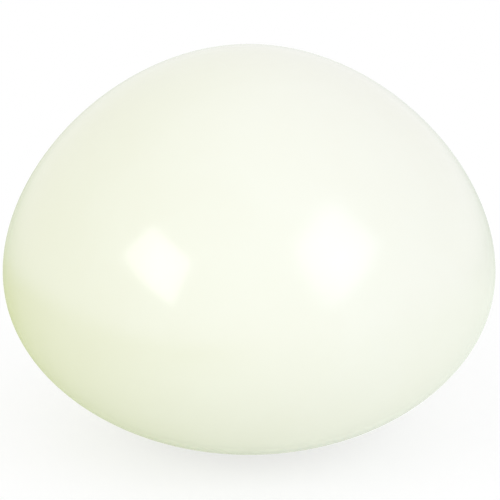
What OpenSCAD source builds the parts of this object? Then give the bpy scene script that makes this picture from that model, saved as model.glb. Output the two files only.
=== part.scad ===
// Oval cue ball: a glossy white casting poured round a heavy core.
// Every section across the upright axis is round. The side view is egg-shaped, wider than it
// is tall, with the flatter end down. The origin is the lowest point of the base.

/* [Ball] */
// Diameter across the waist, the widest round section
waist_d = 57.15; // [54:0.05:60]
// Height of the crown above the waist
crown_h = 26.4; // [25:0.1:29]
// Depth of the base below the waist
base_h = 19.9; // [18.5:0.1:23]
// How far the shoulders above the waist are drawn in
shoulder_draw = 0.58; // [0:0.01:0.8]

/* [Core] */
// Thickness of the white casting round the core
casting_wall = 7; // [4:0.5:8.5]

/* [Smoothness] */
// Steps along the side view from the base to the crown
outline_steps = 120; // [48:12:240]

/* [Hidden] */
$fn = 180;
waist_r = waist_d / 2;
mean_h = (crown_h + base_h) / 2;
egg = (crown_h - base_h) / 2;
ivory = [0.94, 0.95, 0.87];
putty = [0.60, 0.58, 0.53];

// A point of the side view is named by its tilt, the angle at which the surface there faces:
// -90 straight down at the base, 0 level at the waist and 90 straight up at the crown.
// reach is the distance from the waist's centre to the plane that touches the ball there.
function reach(tilt) =
    waist_r * pow(cos(tilt), 2)
    + (mean_h + egg * sin(tilt)) * pow(sin(tilt), 2)
    - shoulder_draw * pow(sin(2 * tilt), 2) * (1 + sin(tilt)) / 2;

// The slope of reach, for each radian of tilt
function reach_slope(tilt) =
    (mean_h - waist_r) * sin(2 * tilt)
    + 3 * egg * pow(sin(tilt), 2) * cos(tilt)
    - shoulder_draw * sin(4 * tilt) * (1 + sin(tilt))
    - shoulder_draw * pow(sin(2 * tilt), 2) * cos(tilt) / 2;

// Where the side view touches that plane, on a surface that lies inset below the ball's own
function outline_point(tilt, inset) =
    (reach(tilt) - inset) * [cos(tilt), sin(tilt)]
    + reach_slope(tilt) * [-sin(tilt), cos(tilt)];

// The solid inside a surface that lies everywhere inset below the ball's surface
module oval_solid(inset = 0) {
    tilt_step = 180 / outline_steps;
    translate([0, 0, base_h])
        rotate_extrude()
            polygon([for (i = [0 : outline_steps]) outline_point(-90 + i * tilt_step, inset)]);
}

// The white resin, one unbroken wall with the core sealed inside
module outer_casting() {
    color(ivory)
        difference() {
            oval_solid();
            oval_solid(inset = casting_wall);
        }
}

// The mineral-filled resin that the casting is poured round and bonds to
module weight_core() {
    color(putty)
        oval_solid(inset = casting_wall);
}

outer_casting();
weight_core();
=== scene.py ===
# %% [markdown]
# # An oval cue ball, finished and photographed
# The part is a trick cue ball. It is as wide as a playing ball but egg-shaped from the side, so it
# wobbles when it is struck. It is made in two pourings: a heavy core, and a white resin casting round
# it that is ground and buffed. The solids that are loaded here give its size and place, and this
# lesson gives it a finished skin, its two resins and a small studio.

# %% Load the solids
import math

import bmesh
import bpy
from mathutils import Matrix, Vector


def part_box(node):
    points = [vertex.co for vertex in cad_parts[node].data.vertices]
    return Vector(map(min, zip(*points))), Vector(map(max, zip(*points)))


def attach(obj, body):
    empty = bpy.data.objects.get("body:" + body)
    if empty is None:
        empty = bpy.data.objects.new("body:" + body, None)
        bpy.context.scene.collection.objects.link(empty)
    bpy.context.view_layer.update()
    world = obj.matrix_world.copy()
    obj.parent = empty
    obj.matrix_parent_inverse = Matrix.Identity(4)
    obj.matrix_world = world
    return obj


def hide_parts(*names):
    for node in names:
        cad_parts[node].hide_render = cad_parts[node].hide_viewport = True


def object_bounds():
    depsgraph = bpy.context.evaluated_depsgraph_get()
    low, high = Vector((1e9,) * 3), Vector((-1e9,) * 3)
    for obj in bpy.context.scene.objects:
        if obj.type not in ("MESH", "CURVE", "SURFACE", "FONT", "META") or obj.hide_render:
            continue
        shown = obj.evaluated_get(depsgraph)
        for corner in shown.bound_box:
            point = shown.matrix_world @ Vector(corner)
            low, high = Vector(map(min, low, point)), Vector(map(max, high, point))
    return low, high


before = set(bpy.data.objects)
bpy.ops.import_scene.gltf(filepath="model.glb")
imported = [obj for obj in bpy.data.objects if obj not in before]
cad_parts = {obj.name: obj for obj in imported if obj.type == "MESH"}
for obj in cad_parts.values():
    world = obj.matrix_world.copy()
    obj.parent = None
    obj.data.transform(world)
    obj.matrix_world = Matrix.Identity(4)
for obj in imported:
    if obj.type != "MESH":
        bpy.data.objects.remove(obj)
cad_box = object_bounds()
MM = 0.001
cad_size = [round(x / MM, 2) for x in cad_box[1] - cad_box[0]]
print("solids:", sorted(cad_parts), "box in mm:", cad_size)

# %% [markdown]
# ## Measure the ball
# A new skin has to lie exactly where the solid is, so its sizes are read from the solid and not typed
# in again. The casting's box gives its height, its widest vertex gives the waist, and the core's box
# gives the wall. One more reading is needed, because two balls of the same height and width can have
# fuller or slimmer shoulders. It is how far the solid reaches along a line that climbs at 45 degrees.

# %% Read the sizes from the frame
casting_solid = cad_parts["outer_casting"]
casting_low, casting_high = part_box("outer_casting")
core_low, core_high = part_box("weight_core")

widest = max((v.co for v in casting_solid.data.vertices), key=lambda co: co.xy.length)
waist_r = min(casting_high.x, casting_high.y, -casting_low.x, -casting_low.y)
waist_z = widest.z
crown_h = casting_high.z - waist_z
base_h = waist_z - casting_low.z
wall = core_low.z - casting_low.z

CLIMB = math.radians(45)
climb_reach = max(
    v.co.xy.length * math.cos(CLIMB) + (v.co.z - waist_z) * math.sin(CLIMB)
    for v in casting_solid.data.vertices
)
mean_h = (crown_h + base_h) / 2
egg = (crown_h - base_h) / 2
full_reach = waist_r * math.cos(CLIMB) ** 2 + (mean_h + egg * math.sin(CLIMB)) * math.sin(CLIMB) ** 2
shoulder_draw = (full_reach - climb_reach) * 2 / (1 + math.sin(CLIMB))
for name, size in (("waist radius", waist_r), ("crown", crown_h), ("base", base_h),
                   ("wall", wall), ("shoulder draw", shoulder_draw)):
    print(f"{name}: {size / MM:.3f} mm")

# %% [markdown]
# ## The outline
# The side view is a curve of which we know how the surface faces. At a tilt of -90 degrees it faces
# straight down at the base, at 0 level at the waist, and at 90 straight up at the crown. For each tilt
# the formula gives the reach, the distance from the waist's centre to the plane that just touches the
# ball, and the slope of the reach says where on that plane the ball touches it. A spline through a few
# points would also do, but it would bulge between them, and gloss shows every bulge.

# %% Work out the outline
def outline_point(tilt):
    """Radius and height, in metres, of the skin where it faces up at this tilt, in radians."""
    sin, cos = math.sin(tilt), math.cos(tilt)
    reach = (
        waist_r * cos ** 2
        + (mean_h + egg * sin) * sin ** 2
        - shoulder_draw * math.sin(2 * tilt) ** 2 * (1 + sin) / 2
    )
    slope = (
        (mean_h - waist_r) * math.sin(2 * tilt)
        + 3 * egg * sin ** 2 * cos
        - shoulder_draw * math.sin(4 * tilt) * (1 + sin)
        - shoulder_draw * math.sin(2 * tilt) ** 2 * cos / 2
    )
    return reach * cos - slope * sin, waist_z + reach * sin + slope * cos


OUTLINE_STEPS = 128
TURN_STEPS = 192
tilts = [math.pi * (i / OUTLINE_STEPS - 0.5) for i in range(OUTLINE_STEPS + 1)]
outline = [outline_point(tilt) for tilt in tilts]
lowest, highest = outline[0][1], outline[-1][1]
print(len(outline), "outline points, from", f"{lowest / MM:.2f} to {highest / MM:.2f} mm high")

# %% [markdown]
# ## The skin
# A ball that is ground all over has no seam, so its skin is one closed surface. Blender could start
# from a sphere and squeeze it, but the outline is already exact, and spin turns it into a surface with
# one step. Spin leaves a whole ring of vertices at each pole, so they are merged, and the normals are
# recalculated because spin can turn a shape inside out. Only then is the wall made, with solidify, so
# that the casting is hollow where the core sits.

# %% Spin the outline and give it its wall
skin = bmesh.new()
profile = [skin.verts.new((radius, 0, height)) for radius, height in outline]
edges = [skin.edges.new(pair) for pair in zip(profile, profile[1:])]
bmesh.ops.spin(
    skin, geom=profile + edges, cent=(0, 0, 0), axis=(0, 0, 1),
    angle=2 * math.pi, steps=TURN_STEPS, use_merge=True,
)
MERGE = 0.001 * MM
CM = 10 * MM
bmesh.ops.remove_doubles(skin, verts=skin.verts[:], dist=MERGE)
bmesh.ops.recalc_face_normals(skin, faces=skin.faces[:])
print("skin:", len(skin.faces), "faces,", f"{skin.calc_volume() / CM ** 3:.2f} cm3 inside")
bmesh.ops.solidify(skin, geom=skin.faces[:], thickness=wall)
print("with its wall:", len(skin.faces), "faces,", f"{skin.calc_volume() / CM ** 3:.2f} cm3 of resin")

casting_mesh = bpy.data.meshes.new("polished_casting")
skin.to_mesh(casting_mesh)
skin.free()
casting_mesh.polygons.foreach_set("use_smooth", [True] * len(casting_mesh.polygons))
casting = bpy.data.objects.new("polished_casting", casting_mesh)
bpy.context.scene.collection.objects.link(casting)

# %% [markdown]
# ## Two helpers for materials
# Colours are picked as sRGB hex values, as in any paint program, but Blender's sockets hold linear
# light, so one function turns one into the other. A second function adds a node, sets its properties,
# and fills or links its inputs, which keeps each material below as short as a recipe.

# %% Colour and node helpers
def linear(hex_colour):
    """An sRGB colour such as "#f2f2e7" as the linear RGBA that a socket holds."""
    channels = [int(hex_colour[i:i + 2], 16) / 255 for i in (1, 3, 5)]
    return [c / 12.92 if c <= 0.04045 else ((c + 0.055) / 1.055) ** 2.4 for c in channels] + [1.0]


def add_node(tree, kind, inputs=None, **settings):
    """Add a node. Settings are its properties, and inputs maps a socket to a value or to a link."""
    node = tree.nodes.new(kind)
    for name, value in settings.items():
        setattr(node, name, value)
    for socket, value in (inputs or {}).items():
        if isinstance(value, bpy.types.NodeSocket):
            tree.links.new(value, node.inputs[socket])
        else:
            node.inputs[socket].default_value = value
    return node


def new_material(name):
    """An empty material, its node tree and its output node."""
    material = bpy.data.materials.new(name)
    material.use_nodes = True
    material.node_tree.nodes.clear()
    return material, material.node_tree, add_node(material.node_tree, "ShaderNodeOutputMaterial")


print("half grey in linear light:", round(linear("#808080")[0], 3))

# %% [markdown]
# ## The white resin
# The casting is polyester resin, tinted ivory and filled with white pigment, then ground round and
# buffed. It is opaque and nearly even in colour, with faint clouds where the pigment settled as it set.
# Buffing leaves a gloss that is clear but not a mirror's: the wheel's hairlines run in long arcs, and
# the surface rolls very slightly. Colour, gloss and bump each get their own pattern, at its real size.

# %% White resin: colour
CLOUD_SIZE = 15 * MM
IVORY, IVORY_CLOUD = "#f2f2e7", "#efeee0"
resin, tree, resin_output = new_material("cast_polyester_resin_buffed")
place = add_node(tree, "ShaderNodeTexCoord").outputs["Object"]
clouds = add_node(
    tree, "ShaderNodeTexNoise",
    {"Vector": place, "Scale": 1 / CLOUD_SIZE, "Detail": 3.0, "Roughness": 0.55, "Distortion": 0.6},
)
# The clouds give the eye a soft unevenness that a flat colour lacks
colour = add_node(
    tree, "ShaderNodeMix",
    {"Factor": clouds.outputs["Fac"], "A": linear(IVORY), "B": linear(IVORY_CLOUD)},
    data_type="RGBA",
)
print("resin colours:", IVORY, IVORY_CLOUD)

# %% White resin: gloss
# The wheel leaves hairlines a few thousandths of a millimetre wide. They are drawn a hundred times
# coarser, as finer ones would be lost in the picture, and so faintly that they only show in close-up.
HAIRLINE_SPACING = 0.9 * MM
HAIRLINE_TURNS = ((0.0, 0.5, 0.3), (0.0, -0.4, 1.2), (0.0, 0.9, 2.3))
HAIRLINE_ROUGHNESS = 0.08
PATCH_SIZE = 7 * MM
PATCH_SMOOTH, PATCH_ROUGH = 0.09, 0.14
patches = add_node(
    tree, "ShaderNodeTexNoise", {"Vector": place, "Scale": 1 / PATCH_SIZE, "Detail": 2.0},
).outputs["Fac"]
hairlines = 0.0
for turn in HAIRLINE_TURNS:
    turned = add_node(tree, "ShaderNodeMapping", {"Vector": place, "Rotation": turn}).outputs["Vector"]
    # At a scale of 1 a wave's bands lie 0.1 pi apart. Where they cut the ball they make long arcs.
    bands = add_node(
        tree, "ShaderNodeTexWave",
        {"Vector": turned, "Scale": 0.1 * math.pi / HAIRLINE_SPACING, "Distortion": 0.6, "Detail": 1.0},
        wave_type="BANDS", bands_direction="X",
    ).outputs["Fac"]
    breaks = add_node(
        tree, "ShaderNodeTexNoise", {"Vector": turned, "Scale": 1 / PATCH_SIZE, "Detail": 1.0},
    ).outputs["Fac"]
    broken = add_node(
        tree, "ShaderNodeMath", {0: bands, 1: breaks}, operation="MULTIPLY",
    ).outputs["Value"]
    line = add_node(
        tree, "ShaderNodeMapRange", {"Value": broken, "From Min": 0.5, "From Max": 0.7},
    ).outputs["Result"]
    hairlines = add_node(
        tree, "ShaderNodeMath", {0: line, 1: hairlines}, operation="MAXIMUM",
    ).outputs["Value"]
# Patches that were buffed a little less give the lamps' reflections a soft, uneven edge
patch_gloss = add_node(
    tree, "ShaderNodeMapRange",
    {"Value": patches, "From Min": 0.3, "From Max": 0.7, "To Min": PATCH_SMOOTH, "To Max": PATCH_ROUGH},
).outputs["Result"]
roughness = add_node(
    tree, "ShaderNodeMath", {0: hairlines, 1: HAIRLINE_ROUGHNESS, 2: patch_gloss},
    operation="MULTIPLY_ADD",
).outputs["Value"]
roughest = PATCH_ROUGH + HAIRLINE_ROUGHNESS
print(f"roughness from {PATCH_SMOOTH} to {roughest:.2f}, {len(HAIRLINE_TURNS)} sets of hairlines")

# %% White resin: surface
# A hand-held wheel never leaves a true surface. Its slow roll bends the lamps' edges very slightly
ROLL_SIZE = 6 * MM
ROLL_HEIGHT = 0.005 * MM
roll = add_node(
    tree, "ShaderNodeTexNoise", {"Vector": place, "Scale": 1 / ROLL_SIZE, "Detail": 1.0},
).outputs["Fac"]
rolled = add_node(
    tree, "ShaderNodeBump", {"Height": roll, "Strength": 1.0, "Distance": ROLL_HEIGHT},
).outputs["Normal"]
resin_shader = add_node(
    tree, "ShaderNodeBsdfPrincipled",
    {"Base Color": colour.outputs["Result"], "Roughness": roughness, "IOR": 1.6, "Normal": rolled},
)
tree.links.new(resin_shader.outputs["BSDF"], resin_output.inputs["Surface"])
casting_mesh.materials.append(resin)
print("surface roll:", round(ROLL_HEIGHT / MM, 3), "mm high over", round(ROLL_SIZE / MM), "mm")

# %% [markdown]
# ## The core
# The core is the same resin with a heavy mineral powder stirred in. It is matt as it comes from its
# mould, a grey putty colour with paler and darker grains. It is sealed inside the casting, and its solid
# already has the right shape, so the solid stays and only gets its material.

# %% Filled resin
GRAIN_SIZE = 0.8 * MM
GRAIN_DARK, GRAIN_PALE = "#8f8b80", "#b3aea1"
GRAIN_RELIEF = 0.05 * MM
filled, tree, filled_output = new_material("mineral_filled_resin_as_cast")
place = add_node(tree, "ShaderNodeTexCoord").outputs["Object"]
grains = add_node(tree, "ShaderNodeTexVoronoi", {"Vector": place, "Scale": 1 / GRAIN_SIZE})
putty = add_node(
    tree, "ShaderNodeMix",
    {"Factor": grains.outputs["Color"], "A": linear(GRAIN_DARK), "B": linear(GRAIN_PALE)},
    data_type="RGBA",
)
# The grains stand just proud of the resin, which gives the eye a dull, stony surface
relief = add_node(
    tree, "ShaderNodeBump",
    {"Height": grains.outputs["Distance"], "Strength": 0.4, "Distance": GRAIN_RELIEF},
).outputs["Normal"]
filled_shader = add_node(
    tree, "ShaderNodeBsdfPrincipled",
    {"Base Color": putty.outputs["Result"], "Roughness": 0.7, "IOR": 1.58, "Normal": relief},
)
tree.links.new(filled_shader.outputs["BSDF"], filled_output.inputs["Surface"])
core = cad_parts["weight_core"]
core.data.materials.clear()
core.data.materials.append(filled)
print("core material:", filled.name)

# %% [markdown]
# ## Hand the skin to the frame
# The skin rides on the ball's one rigid body and stands for the casting's solid, which is then hidden.

# %% Ride and replace
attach(casting, "root")
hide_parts("outer_casting")
print(casting.name, "stands for outer_casting, with", len(casting_mesh.polygons), "faces")

# %% [markdown]
# ## Floor
# The photograph is a cut-out, and its background is plain white. The floor is a sheet of matt white
# card that keeps the ball's shadow close to the ball. Further off, what the camera sees of it turns to
# an even white, so that the sheet has no edge in the picture.

# %% Lay the floor
FLOOR_SIZE = 4.0
floor_mesh = bmesh.new()
bmesh.ops.create_grid(floor_mesh, x_segments=1, y_segments=1, size=FLOOR_SIZE)
floor_data = bpy.data.meshes.new("floor")
floor_mesh.to_mesh(floor_data)
floor_mesh.free()
floor = bpy.data.objects.new("floor", floor_data)
bpy.context.scene.collection.objects.link(floor)
print("floor:", floor.dimensions.x, "m across, and the ball's base is", casting_low.z / MM, "mm above it")

# %% [markdown]
# ## What the gloss mirrors
# A cut-out hides the table, but the ball still mirrors it. A gloss reflects most where it turns away
# from us, at its rim, and a rim mirrors what lies beside and behind it. The photographed rim is cream at
# the left and a pale grey elsewhere. So for reflections near the ball the card is cream at the left and
# pale in front, and greyer behind, which is painted shade where the table lies away from the lamps. The
# light that the card throws back gets a part of these colours, and the camera sees plain white. With a
# white table in the reflections too, the white ball would lose its edge.

# %% Matt white card: its colours in reflections, with painted shade behind
# Each row of the table has a colour at its left and one at its right. The back row is greyer: it is
# painted shade, where the table lies away from the lamps.
FRONT_COLOURS = "#bcc868", "#eef6e8"
BACK_SHADE_COLOURS = "#d5dec4", "#d8e1d4"
ACROSS_TABLE = Vector((1, 0.1, 0)).normalized()
CREAM_ENDS, PALE_STARTS = -58 * MM, 13 * MM
BACK_STARTS, BACK_ENDS = 25 * MM, 80 * MM
TABLE_REACH = 90 * MM
BOUNCE_TINT = 0.27
card, tree, card_output = new_material("matt_white_card")
place = add_node(tree, "ShaderNodeTexCoord").outputs["Object"]
across = add_node(tree, "ShaderNodeVectorMath", {0: place, 1: ACROSS_TABLE}, operation="DOT_PRODUCT")
paleness = add_node(
    tree, "ShaderNodeMapRange",
    {"Value": across.outputs["Value"], "From Min": CREAM_ENDS, "From Max": PALE_STARTS},
    interpolation_type="SMOOTHSTEP",
)
behind = add_node(
    tree, "ShaderNodeMapRange",
    {"Value": add_node(tree, "ShaderNodeSeparateXYZ", {"Vector": place}).outputs["Y"],
     "From Min": BACK_STARTS, "From Max": BACK_ENDS},
    interpolation_type="SMOOTHSTEP",
)
table_front, table_back_shade = [
    add_node(
        tree, "ShaderNodeMix",
        {"Factor": paleness.outputs["Result"], "A": linear(left), "B": linear(right)},
        data_type="RGBA",
    )
    for left, right in (FRONT_COLOURS, BACK_SHADE_COLOURS)
]
# Behind the ball the front row's colours turn into the back row's painted shade
table = add_node(
    tree, "ShaderNodeMix",
    {"Factor": behind.outputs["Result"],
     "A": table_front.outputs["Result"], "B": table_back_shade.outputs["Result"]},
    data_type="RGBA",
)
# Past its reach the table turns white. What lies twice as far shows half as low in the ball, so the
# fade divides by the distance. A fade along the distance itself would show as a line in the gloss.
from_ball = add_node(tree, "ShaderNodeVectorMath", {0: place}, operation="LENGTH").outputs["Value"]
lowness = add_node(tree, "ShaderNodeMath", {0: TABLE_REACH, 1: from_ball}, operation="DIVIDE")
nearness = add_node(
    tree, "ShaderNodeMapRange", {"Value": lowness.outputs["Value"]}, interpolation_type="SMOOTHSTEP",
)
rays = add_node(tree, "ShaderNodeLightPath").outputs
share = add_node(
    tree, "ShaderNodeMath", {0: rays["Is Diffuse Ray"], 1: BOUNCE_TINT, 2: rays["Is Glossy Ray"]},
    operation="MULTIPLY_ADD",
)
tint = add_node(
    tree, "ShaderNodeMath", {0: share.outputs["Value"], 1: nearness.outputs["Result"]},
    operation="MULTIPLY",
)
sheet = add_node(
    tree, "ShaderNodeMix",
    {"Factor": tint.outputs["Value"], "A": linear("#ffffff"), "B": table.outputs["Result"]},
    data_type="RGBA",
).outputs["Result"]
print("table in front:", FRONT_COLOURS, "and behind:", BACK_SHADE_COLOURS)

# %% [markdown]
# ## The shadow
# The photographed ball is hardly darker below, so its table glowed, as the lit tables for product
# photographs do. The card therefore shines with a share of its own even light. Rays from the camera, in
# reflections and through glass get most of it, and the rest of what they see is the lit card with the
# ball's shadow. Light that bounces to the ball gets a smaller share.

# %% Matt white card: the glow and the shadow
def seen_directly(tree):
    """A socket that is 1 for rays from the camera, in reflections and through glass, and else 0."""
    rays = add_node(tree, "ShaderNodeLightPath").outputs
    seen = rays["Is Camera Ray"]
    for kind in ("Is Glossy Ray", "Is Transmission Ray"):
        either = add_node(tree, "ShaderNodeMath", {0: seen, 1: rays[kind]}, operation="MAXIMUM")
        seen = either.outputs["Value"]
    return seen


SHADOW_SHARE = 0.3
SHADOW_NEAR, SHADOW_FAR = 10 * MM, 60 * MM
BOUNCE_GLOW = 0.15
evenness = add_node(
    tree, "ShaderNodeMapRange",
    {"Value": from_ball, "From Min": SHADOW_NEAR, "From Max": SHADOW_FAR, "To Min": 1 - SHADOW_SHARE},
    interpolation_type="SMOOTHSTEP",
)
share = add_node(
    tree, "ShaderNodeMath", {0: rays["Is Diffuse Ray"], 1: BOUNCE_GLOW, 2: seen_directly(tree)},
    operation="MULTIPLY_ADD",
)
glow = add_node(
    tree, "ShaderNodeMath", {0: share.outputs["Value"], 1: evenness.outputs["Result"]},
    operation="MULTIPLY",
)
lit = add_node(tree, "ShaderNodeBsdfDiffuse", {"Color": sheet})
even = add_node(tree, "ShaderNodeEmission", {"Color": sheet, "Strength": 1.0})
mixed = add_node(
    tree, "ShaderNodeMixShader",
    {0: glow.outputs["Value"], 1: lit.outputs["BSDF"], 2: even.outputs["Emission"]},
)
tree.links.new(mixed.outputs["Shader"], card_output.inputs["Surface"])
floor_data.materials.append(card)
print(f"shadow at {SHADOW_SHARE:.0%} up to {SHADOW_NEAR / MM:.0f} mm, gone at {SHADOW_FAR / MM:.0f} mm")

# %% [markdown]
# ## Light from all round
# A pale room throws light back on to the ball from every side. The photographed ball is dimmer and
# yellower towards the lower left, so the room is too, low down at the left. A wide gradient between two
# colours does that, along one direction. The ball's top rim is dimmer as well, because the lamps stand
# in front, so the room's back gives a little less light. All of this only lights the ball: the camera
# and the reflections see plain white.

# %% The room
AMBIENT_FRONT, AMBIENT_BACK = 0.955, 0.82
ROOM_BRIGHT, ROOM_DIM = "#ffffff", "#c2d628"
# The room is dimmest in one direction, and the dimming starts a little past a right angle from it
DIM_SIDE = (-0.70, 0.0, -0.71)
DIM_STARTS, DIM_ENDS = -0.05, 0.75
world = bpy.data.worlds.new("studio")
bpy.context.scene.world = world
world.use_nodes = True
tree = world.node_tree
tree.nodes.clear()
direction = add_node(tree, "ShaderNodeTexCoord").outputs["Generated"]
dim_side = add_node(tree, "ShaderNodeVectorMath", {0: direction, 1: DIM_SIDE}, operation="DOT_PRODUCT")
dimness = add_node(
    tree, "ShaderNodeMapRange",
    {"Value": dim_side.outputs["Value"], "From Min": DIM_STARTS, "From Max": DIM_ENDS},
)
room = add_node(
    tree, "ShaderNodeMix",
    {"Factor": dimness.outputs["Result"], "A": linear(ROOM_BRIGHT), "B": linear(ROOM_DIM)},
    data_type="RGBA",
)
depth = add_node(tree, "ShaderNodeSeparateXYZ", {"Vector": direction}).outputs["Y"]
strength = add_node(
    tree, "ShaderNodeMapRange",
    {"Value": depth, "From Min": -1.0, "To Min": AMBIENT_FRONT, "To Max": AMBIENT_BACK},
)
ambient = add_node(
    tree, "ShaderNodeBackground",
    {"Color": room.outputs["Result"], "Strength": strength.outputs["Result"]},
)
backdrop = add_node(tree, "ShaderNodeBackground", {"Color": linear("#ffffff"), "Strength": 1.0})
mixed = add_node(
    tree, "ShaderNodeMixShader",
    {0: seen_directly(tree), 1: ambient.outputs["Background"], 2: backdrop.outputs["Background"]},
)
add_node(tree, "ShaderNodeOutputWorld", {"Surface": mixed.outputs["Shader"]})
print("room light:", AMBIENT_FRONT, "in front and", AMBIENT_BACK, "behind, to", ROOM_DIM, "at the left")

# %% [markdown]
# ## Lamps
# Two softboxes stand in front of the ball, left and right of the camera and higher than it. On the ball
# each shows as a bright diamond. The corners of the two diamonds were traced back from the photograph
# to where the corners of the cloths must be, so the cloths aren't quite rectangles. A bulb behind a
# cloth lights its middle most, and a deep box has a softer edge than a shallow one.

# %% The cloth of a softbox
def cloth_glow(tree, place, corners, fade, dimming):
    """A socket with the cloth's brightness at a place on it, 1 in the middle and 0 past its edges.
    The corners go round it anticlockwise, in metres to its right and up. The light fades in over fade
    metres across each edge, and the furthest corner lacks the share dimming of the brightness."""
    from_middle = add_node(tree, "ShaderNodeVectorMath", {0: place}, operation="LENGTH").outputs["Value"]
    furthest = max(Vector(corner).length for corner in corners)
    glow = add_node(
        tree, "ShaderNodeMapRange",
        {"Value": from_middle, "From Max": furthest, "To Min": 1.0, "To Max": 1 - dimming},
        interpolation_type="SMOOTHSTEP",
    ).outputs["Result"]
    for (x, y), (next_x, next_y) in zip(corners, corners[1:] + corners[:1]):
        inward = Vector((y - next_y, next_x - x, 0)).normalized()
        depth = add_node(tree, "ShaderNodeVectorMath", {0: place, 1: inward}, operation="DOT_PRODUCT")
        edge = inward.dot(Vector((x, y, 0)))
        lit = add_node(
            tree, "ShaderNodeMapRange",
            {"Value": depth.outputs["Value"], "From Min": edge - fade / 2, "From Max": edge + fade / 2},
            interpolation_type="SMOOTHSTEP",
        )
        glow = add_node(
            tree, "ShaderNodeMath", {0: lit.outputs["Result"], 1: glow}, operation="MULTIPLY",
        ).outputs["Value"]
    return glow


print("a cloth's edge is a straight line that the light fades in across")

# %% A softbox
def add_softbox(name, azimuth, elevation, corners, fade, dimming, brightness, tint):
    """A softbox that faces the ball. Angles are in degrees, and azimuth 0 is straight in front. At a
    brightness of 1 the middle of its cloth looks as white as paper."""
    light = bpy.data.lights.new(name, "AREA")
    light.shape = "RECTANGLE"
    light.size = 2 * max(abs(x) for x, y in corners) + 2 * fade
    light.size_y = 2 * max(abs(y) for x, y in corners) + 2 * fade
    light.energy = brightness * math.pi * light.size * light.size_y
    light.color = linear(tint)[:3]
    light.use_nodes = True
    tree = light.node_tree
    tree.nodes.clear()
    face = add_node(tree, "ShaderNodeNewGeometry").outputs["Parametric"]
    place = add_node(
        tree, "ShaderNodeVectorMath",
        {0: face, 1: (light.size, light.size_y, 0), 2: (-light.size / 2, -light.size_y / 2, 0)},
        operation="MULTIPLY_ADD",
    ).outputs["Vector"]
    glow = cloth_glow(tree, place, corners, fade, dimming)
    cloth = add_node(tree, "ShaderNodeEmission", {"Strength": glow})
    add_node(tree, "ShaderNodeOutputLight", {"Surface": cloth.outputs["Emission"]})
    lamp = bpy.data.objects.new(name, light)
    bpy.context.scene.collection.objects.link(lamp)
    a, e = math.radians(azimuth), math.radians(elevation)
    away = Vector((math.sin(a) * math.cos(e), -math.cos(a) * math.cos(e), math.sin(e)))
    lamp.location = ball_middle + away * LAMP_DISTANCE
    lamp.rotation_mode = "QUATERNION"
    lamp.rotation_quaternion = away.to_track_quat("Z", "Y")
    print(name, "at", [round(x, 3) for x in lamp.location], f"{light.energy:.1f} W")


ball_middle = Vector((0, 0, waist_z))
LAMP_DISTANCE = 0.9
add_softbox(
    "left_softbox", azimuth=-49.9, elevation=31.2,
    corners=[(-0.305, -0.050), (0.236, -0.280), (0.228, 0.114), (-0.176, 0.210)],
    fade=0.05, dimming=0.4, brightness=2.75, tint="#f2f6ff",
)
add_softbox(
    "right_softbox", azimuth=50.2, elevation=35.7,
    corners=[(-0.293, 0.171), (-0.281, -0.456), (0.379, -0.068), (0.180, 0.319)],
    fade=0.14, dimming=0.65, brightness=2.05, tint="#dce8ff",
)

# %% [markdown]
# ## Camera
# The photograph looks down on the ball from some way off. How far down is read from the lamps'
# reflections: they reach well below the ball's middle, so the camera has to look down for the lamps to
# stand above the floor. The waist's width and place in the picture were measured on the photograph.

# %% Camera
CAMERA_DISTANCE = 1.5
CAMERA_ELEVATION = math.radians(22)
# The waist's width, and the place of its centre from the left and the top of the picture, in pixels
PHOTO_SIDE = 500
BALL_WIDTH_PX = 492.8
BALL_X_PX, WAIST_Y_PX = 249.1, 270.2
pixel = 2 * waist_r / BALL_WIDTH_PX
camera_data = bpy.data.cameras.new("camera")
camera_data.sensor_width = 36
camera_data.lens = camera_data.sensor_width * CAMERA_DISTANCE / (PHOTO_SIDE * pixel)
camera = bpy.data.objects.new("camera", camera_data)
bpy.context.scene.collection.objects.link(camera)
back = Vector((0, -math.cos(CAMERA_ELEVATION), math.sin(CAMERA_ELEVATION)))
camera.rotation_mode = "QUATERNION"
camera.rotation_quaternion = back.to_track_quat("Z", "Y")
up = camera.rotation_quaternion @ Vector((0, 1, 0))
aim = ball_middle + Vector((1, 0, 0)) * (PHOTO_SIDE / 2 - BALL_X_PX) * pixel
aim += up * (WAIST_Y_PX - PHOTO_SIDE / 2) * pixel
camera.location = aim + back * CAMERA_DISTANCE
bpy.context.scene.camera = camera
bpy.context.scene.view_settings.view_transform = "Standard"
print(f"lens {camera_data.lens:.0f} mm, {CAMERA_DISTANCE} m away")
